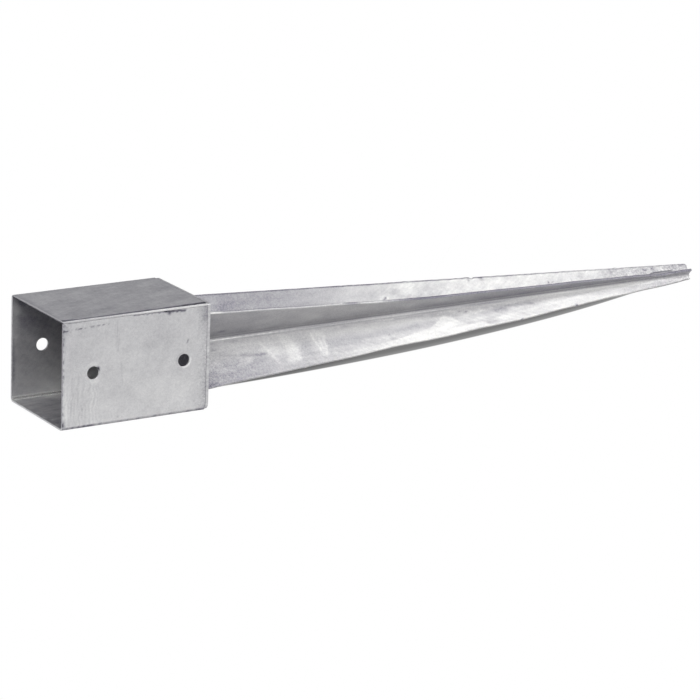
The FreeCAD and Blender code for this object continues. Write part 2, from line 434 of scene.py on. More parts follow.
def zinc_group():
    """The galvanised finish as a node group. The zinc's brightness is a level between Dull and Bright: the
    plain level, plus the painted Tone, which holds painted light and shade as well as the zinc's own tone,
    clouds, fine flecks and grain and faint crystal cells, less the dark specks. Where the level falls below
    the dullest zinc, it goes on towards the black of a pit."""
    group = bpy.data.node_groups.new("galvanising", "ShaderNodeTree")
    for name, kind, value in (
            ("Place", "Vector", None), ("Drift", "Vector", None), ("Tone", "Float", 0.0),
            ("Grime", "Float", 0.0), ("Dull", "Color", (0.22, 0.214, 0.250, 1.0)),
            ("Bright", "Color", (0.93, 0.93, 0.914, 1.0)), ("Clouds", "Float", 0.12),
            ("Flecks", "Float", 0.12), ("Crystals", "Float", 0.03), ("Matt", "Float", 0.5)):
        socket = group.interface.new_socket(name=name, in_out="INPUT", socket_type="NodeSocket" + kind)
        if value is not None:
            socket.default_value = value
    for name, kind in (("Color", "Color"), ("Roughness", "Float"), ("Height", "Float")):
        group.interface.new_socket(name=name, in_out="OUTPUT", socket_type="NodeSocket" + kind)
    given = group.nodes.new("NodeGroupInput").outputs
    place = given["Place"]
    cloud = add_node(group, "ShaderNodeTexNoise", Vector=given["Drift"], Scale=45.0, Detail=5.0,
                     Roughness=0.62).outputs[0]
    fleck = add_node(group, "ShaderNodeTexNoise", Vector=place, Scale=560.0, Detail=3.0,
                     Roughness=0.65).outputs[0]
    cell = add_node(group, "ShaderNodeTexVoronoi", Vector=place, Scale=140.0).outputs["Color"]
    cell = add_node(group, "ShaderNodeSeparateColor", Color=cell).outputs[0]
    grain = add_node(group, "ShaderNodeTexNoise", Vector=place, Scale=1050.0, Detail=2.0).outputs[0]
    speck = maths(group, "MULTIPLY", given["Grime"], 0.30)
    speck = maths(group, "MULTIPLY", remap(group, grain, 0.56, 0.70), speck)
    level = maths(group, "ADD", 0.5, given["Tone"])
    flecking = maths(group, "ADD", given["Flecks"], maths(group, "MULTIPLY", given["Grime"], 0.8))
    graining = maths(group, "MULTIPLY", flecking, 0.8)
    for wave, strength in ((cloud, given["Clouds"]), (fleck, flecking), (grain, graining),
                           (cell, given["Crystals"])):
        swing = maths(group, "MULTIPLY", maths(group, "SUBTRACT", wave, 0.5), strength)
        level = maths(group, "ADD", level, swing)
    level = maths(group, "SUBTRACT", level, speck)
    zinc = add_node(group, "ShaderNodeMix", {"data_type": "RGBA"}, _0=level, _6=given["Dull"],
                    _7=given["Bright"]).outputs[2]
    pit = remap(group, level, -0.45, 0.05, 0.93, 0.0)
    zinc = add_node(group, "ShaderNodeMix", {"data_type": "RGBA"}, _0=pit, _6=zinc,
                    _7=(0.015, 0.015, 0.02, 1.0)).outputs[2]
    rough = maths(group, "MULTIPLY", maths(group, "SUBTRACT", 0.5, level), 0.20)
    rough = maths(group, "ADD", given["Matt"], rough, clamp=True)
    height = maths(group, "ADD", maths(group, "MULTIPLY", cloud, 0.6), maths(group, "MULTIPLY", fleck, 0.25))
    height = maths(group, "SUBTRACT", height, maths(group, "MULTIPLY", speck, 0.5))
    out = group.nodes.new("NodeGroupOutput").inputs
    for name, value in (("Color", zinc), ("Roughness", rough), ("Height", height)):
        group.links.new(value, out[name])
    return group


galvanising = zinc_group()


def zinc_finish(name, stretch, bump, **values):
    """A galvanised material. The zinc's grain lies on the piece's own sheet, and its clouds too, scaled by
    stretch along, across and through the sheet."""
    material, tree = new_material(name)
    sheet = add_node(tree, "ShaderNodeAttribute", {"attribute_name": "sheet"}).outputs["Vector"]
    drift = add_node(tree, "ShaderNodeMapping", Vector=sheet, Scale=stretch).outputs[0]
    tone = add_node(tree, "ShaderNodeAttribute", {"attribute_name": "tone"}).outputs["Fac"]
    grime = add_node(tree, "ShaderNodeAttribute", {"attribute_name": "grime"}).outputs["Fac"]
    zinc = add_node(tree, "ShaderNodeGroup", {"node_tree": galvanising}, Place=sheet, Drift=drift, Tone=tone,
                    Grime=grime, **values)
    relief = add_node(tree, "ShaderNodeBump", Strength=bump, Distance=0.0006, Height=zinc.outputs["Height"])
    shader = add_node(tree, "ShaderNodeBsdfPrincipled", Base_Color=zinc.outputs["Color"], Metallic=0.8,
                      Roughness=zinc.outputs["Roughness"], Normal=relief.outputs[0])
    tree.links.new(shader.outputs[0], tree.nodes["Material Output"].inputs["Surface"])
    return material


edge_radius = 0.00035
guard = 0.0006
station_spacing = 0.0010
column_spacings = (0.0010, 0, 0.0025, 0, 0.0020, 0, 0.0011)
hole_rim = 0.0003
hole_block = 0.0088
fold_length = (socket_fold + socket_sheet / 2) * math.pi / 2
mid_half = half_width - socket_sheet / 2
flat_half = mid_half - socket_fold - socket_sheet / 2
near_top = half_width - socket_sheet - seam_gap
near_wall_length = near_top + flat_half
top_length = flat_half + half_width
sleeve_runs = [(near_wall_length, 0), (fold_length, math.pi / 2), (2 * flat_half, 0),
               (fold_length, math.pi / 2), (2 * flat_half, 0), (fold_length, math.pi / 2), (top_length, 0)]
sleeve_columns = []
begun = 0.0
run_starts = []
for (length, turn), spacing in zip(sleeve_runs, column_spacings):
    run_starts.append(begun)
    if turn:
        sleeve_columns.append(np.linspace(begun, begun + length, 7)[1:-1])
    else:
        sleeve_columns.append(run_columns(begun, begun + length, spacing, guard))
    begun += length
sleeve_columns = np.concatenate(sleeve_columns)
sleeve_stations = run_columns(0.0, socket_length - plate_thickness, station_spacing, guard)
sleeve_along, sleeve_developed = np.meshgrid(sleeve_stations, sleeve_columns, indexing="ij")
sleeve_blank = sheet_blank(sleeve_along, sleeve_developed, socket_sheet, edge_radius)
walls, caps = blank_faces(sleeve_blank)
far_axis = near_wall_length + fold_length + 2 * flat_half + fold_length + flat_half
holes = [(place, axis) for place in hole_places for axis in (near_top, far_axis)]
sleeve_sheet, walls, rings = drilled(sleeve_blank, walls, holes, hole_radius, hole_rim, hole_block,
                                     socket_sheet / 2)
sleeve_follow = bend_path((-mid_half, near_top), -math.pi / 2, sleeve_runs)
sleeve_points = folded(sleeve_sheet, sleeve_follow)
sleeve = outward_mesh("socket_sheet", sleeve_points, np.concatenate([walls, caps, rings]))
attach(sleeve, "root")
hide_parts("socket_sleeve")

# The socket's finish. Places are in millimetres: u from the open end, and up or back from the axis. Each
# wall has its own tone, of clouds, pits, scratches and mottling, with painted light and shade over some,
# and so have the folds and the cut edges.
u, developed, depth = (sleeve_sheet * 1000).T
outside = ease(-0.3, -0.8, depth)
inside = 1 - outside
_, near_low, bottom_near, bottom_far, far_low, far_high, top_far = (start * 1000 for start in run_starts)
on_near = outside * ease(near_low + 0.4, near_low - 0.1, developed)
on_bottom = band(near_low + 1, bottom_near, bottom_far, far_low - 0.5, developed)
on_far = band(bottom_far + 1.5, far_low, far_high, top_far - 1, developed)
on_top = ease(far_high + 1, top_far, developed)
near_up = near_top * 1000 - developed
far_up = developed - far_axis * 1000
bottom_back = developed - bottom_near - flat_half * 1000
top_back = top_far + flat_half * 1000 - developed
ragged_u = u + 0.7 * ripple(11, u / 1.6, developed / 1.6)
ragged_v = near_up + 0.6 * ripple(12, u / 1.5, developed / 1.5)
fine = ripple(13, u / 0.7, developed / 0.7)

# The outside of the near wall: pits and clouds, a dark line and scratches below the lap, a nicked front
# edge, fine combing low down by the open end, thick zinc round both bolt holes with a painted highlight and
# painted shade on either side of the second, a little painted light over the whole wall, and a dull
# closed end.
near_pits = (
    (1.2, 33, 1.2, 4.5, -0.3), (1.5, -46, 1.8, 3.5, -0.4), (19.8, -32.9, 1.2, 1.2, -0.2),
    (35.9, 3.2, 1.5, 1.7, -1.4), (56.3, -44.7, 1.1, 1.1, -0.25), (108, 46.2, 1.6, 1.4, -0.5),
    (135.7, -40.4, 1, 1, -0.3), (148, -47, 3, 4, -0.22))
near_clouds = (
    (3, 44, 4.5, 6, -0.14), (4, -30, 3, 14, 0.1), (12, 20, 12, 14, -0.05), (18, -26, 4, 14, -0.05),
    (20, 37, 10, 4, -0.05), (31, -9, 8, 3, 0.06), (31, 9, 7, 3, 0.05), (50, -35, 12, 8, 0.05),
    (66, -24, 7, 9, -0.05), (68, -2, 9, 2.2, -0.05), (68, 7, 9, 8, 0.05), (82, -42, 10, 5, -0.04),
    (88, 18, 9, 5, -0.04), (93, -22, 12, 13, 0.05), (98, 25, 16, 12, -0.07), (113, -20, 9, 7, 0.06),
    (121, -33, 9, 9, 0.1), (129, -22, 8, 8, 0.05), (136, 30, 5, 14, 0.05), (138, 25, 5, 8, -0.05),
    (147, -15, 2.5, 22, -0.08))
near_tone = patches(ragged_u, ragged_v, *near_pits, *near_clouds)
near_lap_line = (
    (3, 48.9, 22, 48.9, 0.5, -0.3), (71, 48.8, 104, 48.2, 0.55, -0.45), (104, 48.2, 125, 47.3, 0.95, -0.75))
near_tone += strokes(ragged_u, ragged_v, *near_lap_line)
near_scratches = (
    (52.6, 43, 54, 20, 0.5, -0.07), (54.4, 47, 55.8, 17, 0.55, -0.13), (56.8, 33, 57.5, 17, 0.5, -0.08),
    (59.3, 7, 60.8, -14, 0.6, -0.09), (127, 16.4, 128, 19, 0.7, -0.45))
near_tone += strokes(u, near_up, *near_scratches)
near_broken_line = (
    (0.5, 42.3, 7.5, 41.6, 0.8, -0.7), (13.5, 42.7, 15.5, 42.9, 0.8, -0.65), (17, 42.6, 46, 44, 0.55, -0.6))
broken = ease(-0.35, 0.25, ripple(25, u / 1.3, near_up))
near_tone += strokes(u, near_up, *near_broken_line) * broken
near_tone -= 0.45 * ease(2.8, 0.6, u) * ease(0, 0.6, ripple(26, u / 0.8, near_up / 2))
combed_u = u + 1.9 * ripple(21, near_up / 3, u / 9)
# Painted light lifts the whole wall a little, under the fine combing low down by the open end.
near_tone += 0.05 + 0.12 * ripple(14, combed_u / 0.6, near_up / 9) * ease(42, 28, u) * ease(6, -14, near_up)
first_hole, second_hole = (place * 1000 for place in hole_places)
ring_1, ring_2 = np.hypot(u - first_hole, near_up), np.hypot(u - second_hole, near_up)
near_tone += 0.06 * bell(8.6, 1.6, ring_1) * (1 + 0.6 * fine) * np.abs(near_up) / 8.6
# Round the second hole, a painted highlight on one side of the swelled rim and painted shade on the other.
near_tone += 0.35 * bell(6.5, 0.9, ring_2) * ease(0.2, 0.9, (u - second_hole - near_up) / 9)
near_tone -= 0.15 * bell(7.4, 0.8, ring_2) * ease(0.2, 0.9, (second_hole - u + 0.6 * near_up) / 9)
near_tone += 0.028 * ripple(15, u / 5, near_up / 5) + 0.024 * ripple(22, u / 1.8, near_up / 1.8) - 0.012
near_tone += 0.03 * ease(10, -45, near_up) - 0.025 * ease(15, 40, near_up)
closed_end = ease(135, 149, u + 2.5 * ripple(16, u / 4, near_up / 4))
closed_dull = np.interp(near_up, [-50, -10, 2, 12, 20, 30, 44], [1.1, 0.9, 0.6, 0.1, 0.4, 1.2, 2.4])
near_tone -= 0.11 * closed_end * closed_dull
# Along the fold under the near wall, painted shade: the dark reflection of the shadowed floor under it,
# broken by noise.
under_fold = outside * band(near_low - 0.1, near_low + 1, bottom_near - 1.2, bottom_near, developed)
fold_shade = -0.20 - 0.14 * fine - 0.10 * ease(50, 10, u)
fold_shade -= np.interp(u, [0, 25, 40, 150], [0.45, 0.40, 0.22, 0.26]) * ease(-0.1, 0.5, ripple(33, u / 2))

# The insides of the far wall and the bottom, over clouds of the zinc: painted shade high up under the top
# wall and on the bottom by the near wall, painted light low down and deep inside, and a painted highlight
# along the fold between them.
far_tone_light_shade = -0.06 - 0.20 * ease(34, 48, far_up) - 0.44 * ease(-12, 44, far_up)
far_tone_light_shade += 0.46 * ease(0, -44, far_up) * ease(-20, 60, u) + 0.52 * ease(58, 75, u)
far_clouds = (
    (1.2, 0, 1.6, 40, -0.08), (1.5, -31, 2, 6, -0.12), (1.8, -24, 1.4, 7, -0.12), (3.5, 37, 3.5, 8, 0.2),
    (8, -10, 8, 7, -0.08), (12, 37, 8, 5, 0.12), (21, 30, 9, 4, 0.08), (30, -18, 12, 6, -0.08),
    (42, -38, 10, 8, 0.07))
far_tone_light_shade += patches(ragged_u, far_up, *far_clouds) + strokes(ragged_u, far_up, (1.4, 8, 2.2, -30, 1.1, -0.16))
far_tone_light_shade += 0.06 * ripple(17, u / 4, far_up / 4) + 0.06 * ripple(23, u / 1.5, far_up / 2)
far_tone_light_shade += 0.36 * ease(12, 0, u) * ease(-4, 12, far_up) + 0.28 * ease(36, 56, u) * ease(-34, -44, far_up)
bottom_tone_light_shade = -0.11 - 0.08 * ease(3, 26, u) + 0.28 * ease(20, 45, u) * ease(30, 42, bottom_back)
bottom_tone_light_shade += 0.10 * ease(25, 46, bottom_back) - 0.24 * ease(0, -45, bottom_back)
bottom_tone_light_shade += 0.13 * ripple(18, u / 6, bottom_back / 2.5)
bottom_clouds = (
    (2, -36, 1.6, 3, 0.3), (2, -12, 1.2, 4, 0.22), (4, 20, 2.5, 6, 0.14), (6, -22, 2, 2.5, 0.22),
    (7, 30, 14, 2.5, 0.14), (9.4, 9, 2.5, 1.2, 0.2), (14, 0, 10, 1.5, 0.12))
bottom_tone_light_shade += patches(ragged_u, bottom_back, *bottom_clouds)
fillet_start = bottom_far - 1.2 - 0.9 * ease(25, 50, u)
fillet_highlight = inside * band(fillet_start, bottom_far + 0.3, far_low - 0.2, far_low + 1.4, developed)

# The outside of the top: a little darker all over as painted shade, with clouds, a few streaks, and a dark
# line beside the lap's cut edge.
top_tone = 0.08 * ripple(19, u / 12, top_back / 6) + 0.05 * ripple(20, u / 4, top_back / 3) - 0.09
top_tone += 0.04 * ripple(28, u / 1.6, top_back / 1.6)
top_clouds = (
    (2.2, 0, 1.6, 60, -0.14), (12, -8, 9, 10, -0.04), (14, 38, 3, 1.5, 0.05), (38, 35, 16, 7, 0.06),
    (53, -12, 7, 4, -0.07), (58, -6, 9, 4, -0.04), (60, -30, 10, 6, -0.07), (66.6, 48, 3, 1.6, -0.12),
    (73, -27, 6, 4, -0.05), (74, 2, 10, 4, -0.03), (82, 10, 5, 8, -0.04), (98, 42, 5, 3, 0.06),
    (120, -37, 22, 6, 0.05))
top_tone += patches(u, top_back, *top_clouds)
top_streaks = (
    (4.6, 47, 4.6, -45, 0.5, -0.07), (30, 49, 60, 49, 1.2, -0.12), (64, 49, 80, 49, 1.6, -0.3))
top_tone += strokes(u, top_back, *top_streaks)
line_width = np.interp(u, [0, 8, 14, 60, 110, 148], [4.2, 3.6, 2.8, 3.2, 3.8, 5.2]) + 0.6 * ripple(29, u / 5)
in_line = ease(-50.5, -50, top_back) * ease(line_width - 49.4, line_width - 50.6, top_back)
line_dark = np.interp(u, [0, 10, 20, 60, 110, 130, 148], [0.50, 0.40, 0.32, 0.42, 0.46, 0.60, 0.80])
top_tone -= in_line * (line_dark + 0.15 * ripple(30, u / 3))

# The walls together, with the folds, the lap's cut edge and the rim of the open end over them.
socket_tone = on_near * near_tone + under_fold * fold_shade + outside * on_top * top_tone
socket_tone += inside * (on_far * far_tone_light_shade + on_bottom * bottom_tone_light_shade) + 1.4 * fillet_highlight * (1 + 0.4 * fine)
back_fold = outside * band(far_high - 0.6, far_high + 0.6, top_far - 0.6, top_far + 0.8, developed)
socket_tone -= back_fold * ease(110, 70, u) * (0.30 + 0.25 * ripple(34, u / 5))
# The lap's cut edge carries a painted highlight that grows towards the closed end, with painted shade on its
# inner half nearer the open end.
lap_edge = ease(developed.max() - 0.9, developed.max() - 0.3, developed)
lap_highlight_and_shade = np.interp(u, [0, 60, 90, 120, 148], [0, 0.05, 0.24, 0.28, 0.28])
lap_highlight_and_shade += 0.07 * fine + 0.06 * ripple(24, u / 6) - 0.07 * ease(-0.3, 0.6, depth) * ease(130, 100, u)
socket_tone = socket_tone * (1 - lap_edge) + lap_edge * lap_highlight_and_shade
# The rim of the open end has its own tone on each wall, and on the top wall its inner half is darkened with
# painted shade.
rim = ease(0.55, 0.25, u)
rim_tone = np.interp(developed, [near_low - 2, near_low + 2, bottom_far, far_low + 4, far_high - 3, top_far],
                     [-0.30, 0, 0.05, -0.22, -0.16, 0.08])
rim_tone += 0.10 * fine - 0.95 * ease(-0.6, 0, depth) * ease(far_high, top_far, developed)
socket_tone = socket_tone * (1 - rim) + rim * rim_tone
socket_grime = 0.04 + 0.7 * on_near * (closed_end + patches(u, near_up, (3, 45, 7, 6, 0.6)))
paint(sleeve, sleeve_sheet, socket_tone, np.clip(socket_grime, 0, 1))
socket_zinc = zinc_finish("galvanised_socket", (1.0, 1.0, 1.0), 0.35, Clouds=0.18, Flecks=0.28, Crystals=0.03)
sleeve.data.materials.append(socket_zinc)

# Base plate. A square plate, 2.5 mm thick, with well rounded corners, welded flush over the end of the
# socket. The post stands on it, and the spike is welded to its outer face, which zinc has swelled a little.
plate_corner = 0.006
plate_swell = 0.0009
plate_edge = 0.0005
plate_inset = 0.00008
plate_spacing = 0.0015


def rounded_plate(start, thickness, half, corner, edge, spacing):
    """A plate's closed surface as loops about its middle: each loop is the rounded square outline drawn in
    by a step, first over the inner face, then round the edge, then over the outer face. The corner where the
    lapping sheet ends is nearly square with zinc."""
    line = np.arange(-(half - corner), half - corner, spacing) + spacing / 2
    arc = np.radians(np.arange(0, 90, 10))
    outline = []
    for quarter in range(4):
        turn = quarter * np.pi / 2
        side_normal = np.full(len(line), turn)
        outline.append(np.column_stack([np.full(len(line), half - corner), line, side_normal]))
        outline.append(np.column_stack([np.full(len(arc), half - corner), np.full(len(arc), half - corner),
                                        turn + arc]))
        for part in outline[-2:]:
            y = part[:, 0] * np.cos(turn) - part[:, 1] * np.sin(turn)
            z = part[:, 0] * np.sin(turn) + part[:, 1] * np.cos(turn)
            part[:, 0], part[:, 1] = y, z
    core_y, core_z, facing = np.concatenate(outline).T
    around = np.radians([0, 30, 60, 90])
    loops = [(share, -corner, 0.0) for share in (0.02, 0.25, 0.5, 0.75)]
    loops += [(1.0, -edge - guard, 0.0), (1.0, -edge, 0.0)]
    loops += [(1.0, -edge + edge * np.sin(a), edge * (1 - np.cos(a))) for a in around[1:]]
    loops += [(share, out, thickness - down) for share, out, down in reversed(loops)]
    grid = []
    squarer = np.maximum(np.abs(np.cos(facing)), np.abs(np.sin(facing))) ** -0.85
    squarer = np.where((core_y < 0) & (core_z > 0), squarer, 1.0)
    for share, out, down in loops:
        radius = (corner + out) * squarer
        grid.append(np.column_stack([np.full(len(core_y), start + down),
                                     share * core_y + radius * np.cos(facing),
                                     share * core_z + radius * np.sin(facing)]))
    return np.array(grid)


plate_grid = rounded_plate(socket_length - plate_thickness, plate_thickness + plate_swell,
                           half_width - plate_inset, plate_corner, plate_edge, plate_spacing)
poles = np.array([[socket_length - plate_thickness, 0.0, 0.0], [socket_length + plate_swell, 0.0, 0.0]])
plate_flat = np.concatenate([plate_grid.reshape(-1, 3), poles])
plate = outward_mesh("end_plate", tipped(*plate_flat.T), *tube_faces(*plate_grid.shape[:2]))
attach(plate, "root")
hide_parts("base_plate")

# The plate's finish: a dark line where it meets the socket, bright and mottled round its edge, and duller
# on its faces. Places are in millimetres.
thick, back, up = (plate_flat * 1000).T
joint = ease(148.1, 147.6, thick)
border = ease(48.5, 50.0, np.maximum(np.abs(back), np.abs(up)))
plate_tone = border * (0.02 - 0.45 * joint + 0.12 * ripple(31, back / 1.5, up / 1.5))
face_dull = 0.10 + 0.35 * ease(148.5, 147.5, thick) + 0.08 * ripple(32, back / 9, up / 9)
plate_tone -= (1 - border) * face_dull
paint(plate, plate_flat[:, [1, 2, 0]], plate_tone, 0.15 + 0.2 * (1 - border))
plate.data.materials.append(socket_zinc)

# Spike. Two tapering sheets, 2.5 mm thick, each folded once to a right angle and set back to back, so
# that four fins stand out from the spine. Their free edges are sheared to a slight curve.
fin_room = 0.060
fin_line = spike_fold + spike_sheet - fin_offset
spine_length = (spike_fold + spike_sheet / 2) * math.pi / 2
mid_offset = fin_offset - spike_sheet / 2
spike_edge_radius = 0.0006
spike_spacing = 0.0014
spike_guard = 0.0009
fin_guard = 0.0010
tear_start = 0.728
wave_height = 0.00035


def free_edge(root_reach, tip_reach, bow, share):
    """From the axis to the free edge: a straight taper from root to tip, plus a parabola of height bow."""
    return root_reach + (tip_reach - root_reach) * share + 4 * bow * share * (1 - share)


def sheared(seed, stations, *bumps):
    """How far a sheared edge stands in from its line: fine ripples, less nubs of zinc and plus notches, each
    (along, half length, height), which are bell curves."""
    rough = 0.00010 * (1 + ripple(seed, stations / 0.006)) + 0.00008 * ripple(seed + 1, stations / 0.0018)
    return rough - sum(height * bell(place, reach, stations) for place, reach, height in bumps)


def angle_sheet(name, upper, lower, side, upper_bumps, lower_bumps, seed, tear):
    """One folded angle. upper and lower are (root reach, tip reach, bow); side is -1 in front, 1 behind.
    The blunt tip is torn back by about tear, and the fins are faintly wavy.

    Gives the piece, its sheet, and in millimetres the reach from the axis up and down the two fins and the
    distance in from the upper free edge."""
    tip = socket_length + spike_length
    stations = run_columns(socket_length - 0.0002, tip, spike_spacing, spike_guard)
    share = np.clip((stations - socket_length) / spike_length, 0, 1)
    upper_reach = free_edge(*upper, share) - sheared(seed, stations, *upper_bumps)
    lower_reach = free_edge(*lower, share) - sheared(seed + 5, stations, *lower_bumps)
    fold_start = fin_room - fin_line
    fold_end = fold_start + spine_length
    upper_edge = (fin_room - upper_reach)[:, None]
    lower_edge = (fold_end + lower_reach - fin_line)[:, None]
    steps = np.linspace(0, 1, 38)
    upper_columns = upper_edge + fin_guard + (fold_start - upper_edge - fin_guard) * steps
    lower_columns = fold_end + (lower_edge - fin_guard - fold_end) * steps
    bend_columns = np.linspace(fold_start, fold_end, 11)[1:-1] + 0 * upper_edge
    columns = np.hstack([upper_edge, upper_columns, bend_columns, lower_columns, lower_edge])
    torn = np.maximum(tear + 0.0011 * ripple(seed + 9, columns[-1] / 0.0016), 0.0)
    along = stations[:, None] - torn * ease(tear_start, tip, stations)[:, None]
    blank = sheet_blank(along, columns, spike_sheet, spike_edge_radius)
    walls, caps = blank_faces(blank)
    sheet = blank.reshape(-1, 3)
    wave = wave_height * ripple(seed + 12, sheet[:, 0] / 0.030, sheet[:, 1] / 0.020)
    fin_reach = np.maximum(fold_start - sheet[:, 1], sheet[:, 1] - fold_end)
    wave *= ease(0.002, 0.020, fin_reach) * ease(socket_length, socket_length + 0.02, sheet[:, 0])
    bent = sheet + wave[:, None] * np.array([0, 0, 1])
    start = ((-fin_room + mid_offset) * diagonal, (fin_room + mid_offset) * diagonal)
    follow = bend_path(start, -math.pi / 4, [(fold_start, 0), (spine_length, -math.pi / 2), (fin_room, 0)])
    points = folded(bent, follow)
    points[:, 1] *= -side
    piece = outward_mesh(name, points, walls, caps)
    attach(piece, "root")
    reach_up = fin_room - sheet[:, 1]
    reach_down = sheet[:, 1] - fold_end + fin_line
    inset = sheet[:, 1] - np.interp(sheet[:, 0], stations, upper_edge[:, 0])
    return piece, sheet, reach_up * 1000, reach_down * 1000, inset * 1000


front_upper = (0.0538, 0.009, -0.0065)
front_lower = (0.051, 0.007, 0.0015)
back_upper = (0.0491, 0.0114, 0.0)
back_lower = (0.051, 0.007, 0.0)
front_upper_bumps = (
    (0.33, 0.0022, 0.0004), (0.345, 0.065, -0.002), (0.415, 0.045, -0.0027), (0.5, 0.06, -0.0014),
    (0.6225, 0.0016, 0.0006), (0.66, 0.04, -0.001), (0.698, 0.018, -0.0014), (0.713, 0.012, -0.0017),
    (0.72, 0.03, -0.002))
front_lower_bumps = (
    (0.15, 0.035, 0.001), (0.268, 0.002, 0.0003), (0.375, 0.03, -0.0006), (0.42, 0.02, 0.0004),
    (0.445, 0.022, 0.0007), (0.52, 0.035, 0.0006), (0.53, 0.018, 0.0004), (0.58, 0.015, -0.0005),
    (0.62, 0.02, -0.0005), (0.66, 0.03, -0.001), (0.662, 0.014, 0.0009), (0.748, 0.022, -0.0005))
back_upper_bumps = ((0.482, 0.003, 0.0005), (0.4882, 0.0017, -0.0015), (0.6612, 0.002, 0.0006))
front, front_sheet, reach_up, reach_down, front_inset = angle_sheet(
    "spike_front", front_upper, front_lower, -1, front_upper_bumps, front_lower_bumps, 40, 0.0020)
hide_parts("front_angle")
back, back_sheet, back_up, back_down, back_inset = angle_sheet(
    "spike_back", back_upper, back_lower, 1, back_upper_bumps, (), 60, 0.0004)
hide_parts("back_angle")

# The spike's finish. The zinc is specked by the socket and at the tip. Along the fins it is darker by the
# socket and bright between, partly the zinc's own tone and partly painted light and shade, with smears
# where it ran as it cooled. Places are in millimetres along the spike and out along each fin.
u, developed, depth = (front_sheet * 1000).T
shown = ease(0.3, -0.8, depth)
on_upper = ease(5, 6.5, reach_up)
on_lower = ease(5, 6.5, reach_down)
fine = ripple(81, u / 1.2, developed / 0.9)
ragged_u = u + 1.2 * ripple(82, u / 3, developed / 2.5)
ragged_v = reach_down + 0.8 * ripple(83, u / 2.5, reach_down / 1.5)

# The upper front fin is darkened with painted shade, most near the valley. Its rim carries a painted
# highlight by the socket and is darker further out, with painted shade on its back half.
upper_tone_and_shade = np.interp(u, [150, 215, 282, 370, 440, 520, 641, 750],
                       [-0.17, -0.15, -0.05, -0.08, -0.14, -0.22, -0.19, -0.18])
upper_tone_and_shade += 0.035 * ripple(84, u / 8, reach_up / 3) - 0.14 * ease(20, 5, reach_up)
upper_clouds = (
    (187, 13.9, 4, 1.8, -0.25), (233, 10.6, 14, 4, 0.12), (236, 44, 8, 3, -0.06), (278, 12, 14, 5, 0.06),
    (300, 20, 5, 7, -0.07))
upper_tone_and_shade += patches(ragged_u, reach_up, *upper_clouds)
upper_rim = ease(1.0, 0.4, front_inset)
rim_tone = np.interp(u, [150, 158, 169, 174, 198, 203, 215, 225, 260, 309, 317, 325, 333, 354, 375, 400,
                         600, 690, 722, 750],
                     [0.10, 0.20, 0.20, -0.07, -0.07, 0, 0, -0.05, 0, 0.02, -0.24, -0.24, 0, 0, -0.24, -0.42,
                      -0.34, -0.30, -0.38, -0.36])
rim_tone += (0.08 * ripple(85, u / 5) + 0.06 * fine) * ease(420, 380, u)
rim_tone -= (1 - shown) * (0.10 + 0.18 * ease(300, 260, u))

# The lower front fin is brighter beyond a ragged line, whose distance out from the axis is wedge, and is
# crossed by runs, smears and pits.
wedge = np.interp(u, [150, 295, 318, 335, 377, 403, 418, 427, 434, 441, 447, 455, 463, 490, 510, 530, 560,
                      600, 650, 750],
                  [90, 62, 40, 33, 28, 24, 21, 17, 12, 9.8, 12.4, 20, 23, 21.5, 16, 12.5, 10, 9, 12, 14])
beyond_wedge = ease(wedge - 0.5, wedge + 1.0, ragged_v) * ease(672, 640, u)
lower_tone = beyond_wedge * np.interp(u, [330, 395, 460, 520], [0.06, 0.16, 0.16, 0.06])
lower_tone += np.interp(u, [150, 215, 240, 300, 400, 470, 520, 650, 690, 750],
                        [-0.04, -0.04, -0.02, 0.01, 0.02, -0.04, 0.01, 0.03, -0.05, -0.05])
lower_tone -= 0.12 * ease(20, 34, reach_down) * ease(340, 270, u)
lower_tone -= 0.12 * ease(18, 30, reach_down) * ease(240, 190, u)
lower_runs = (
    (160, 31, 215, 40, 2.2, 0.05), (184, 19.8, 209, 22.2, 0.9, -0.12), (200, 33, 214, 29, 2, 0.12),
    (203, 27.2, 214, 26.2, 1.6, 0.08), (207, 22.4, 231, 24.2, 1.2, -0.18), (221, 24.4, 231, 24, 2, -0.07),
    (229.5, 13.5, 235.5, 23, 243, 36, 1.7, 0.15), (234, 14, 241, 27, 3.2, 0.07),
    (240, 12, 244, 24, 3, 0.06), (257, 30, 259, 36, 2.5, 0.04), (262, 14, 265, 35, 1.2, 0.05),
    (286.7, 10, 289, 22.4, 292, 34, 1.2, 0.21), (293, 12, 300, 14, 1.5, 0.08),
    (293.8, 16, 294.2, 31, 1.6, 0.12), (299.2, 14, 297.2, 27, 296, 34, 1.2, 0.19),
    (302, 20.5, 350, 20.5, 388, 19.5, 405, 17.5, 4.2, -0.16), (303, 27, 335, 25.5, 4.6, -0.1),
    (335, 12.5, 408, 10.5, 3, 0.05), (362, 24, 386, 23.5, 2.6, 0.06), (398, 13, 414, 11.5, 2, 0.07),
    (406, 19, 424, 16.5, 2, -0.13))
lower_tone += strokes(ragged_u, reach_down, *lower_runs)
smear_left = np.interp(reach_down, [6, 24, 36], [251, 254.5, 252])
smear_right = np.interp(reach_down, [8, 18, 24, 37], [261, 266, 267.5, 267.5])
smear = band(smear_left - 2.2, smear_left + 2.2, smear_right - 0.8, smear_right + 0.8, ragged_u)
lower_tone += smear * np.interp(reach_down, [5, 12, 24, 34, 38], [0, 0.08, 0.12, 0.14, 0])
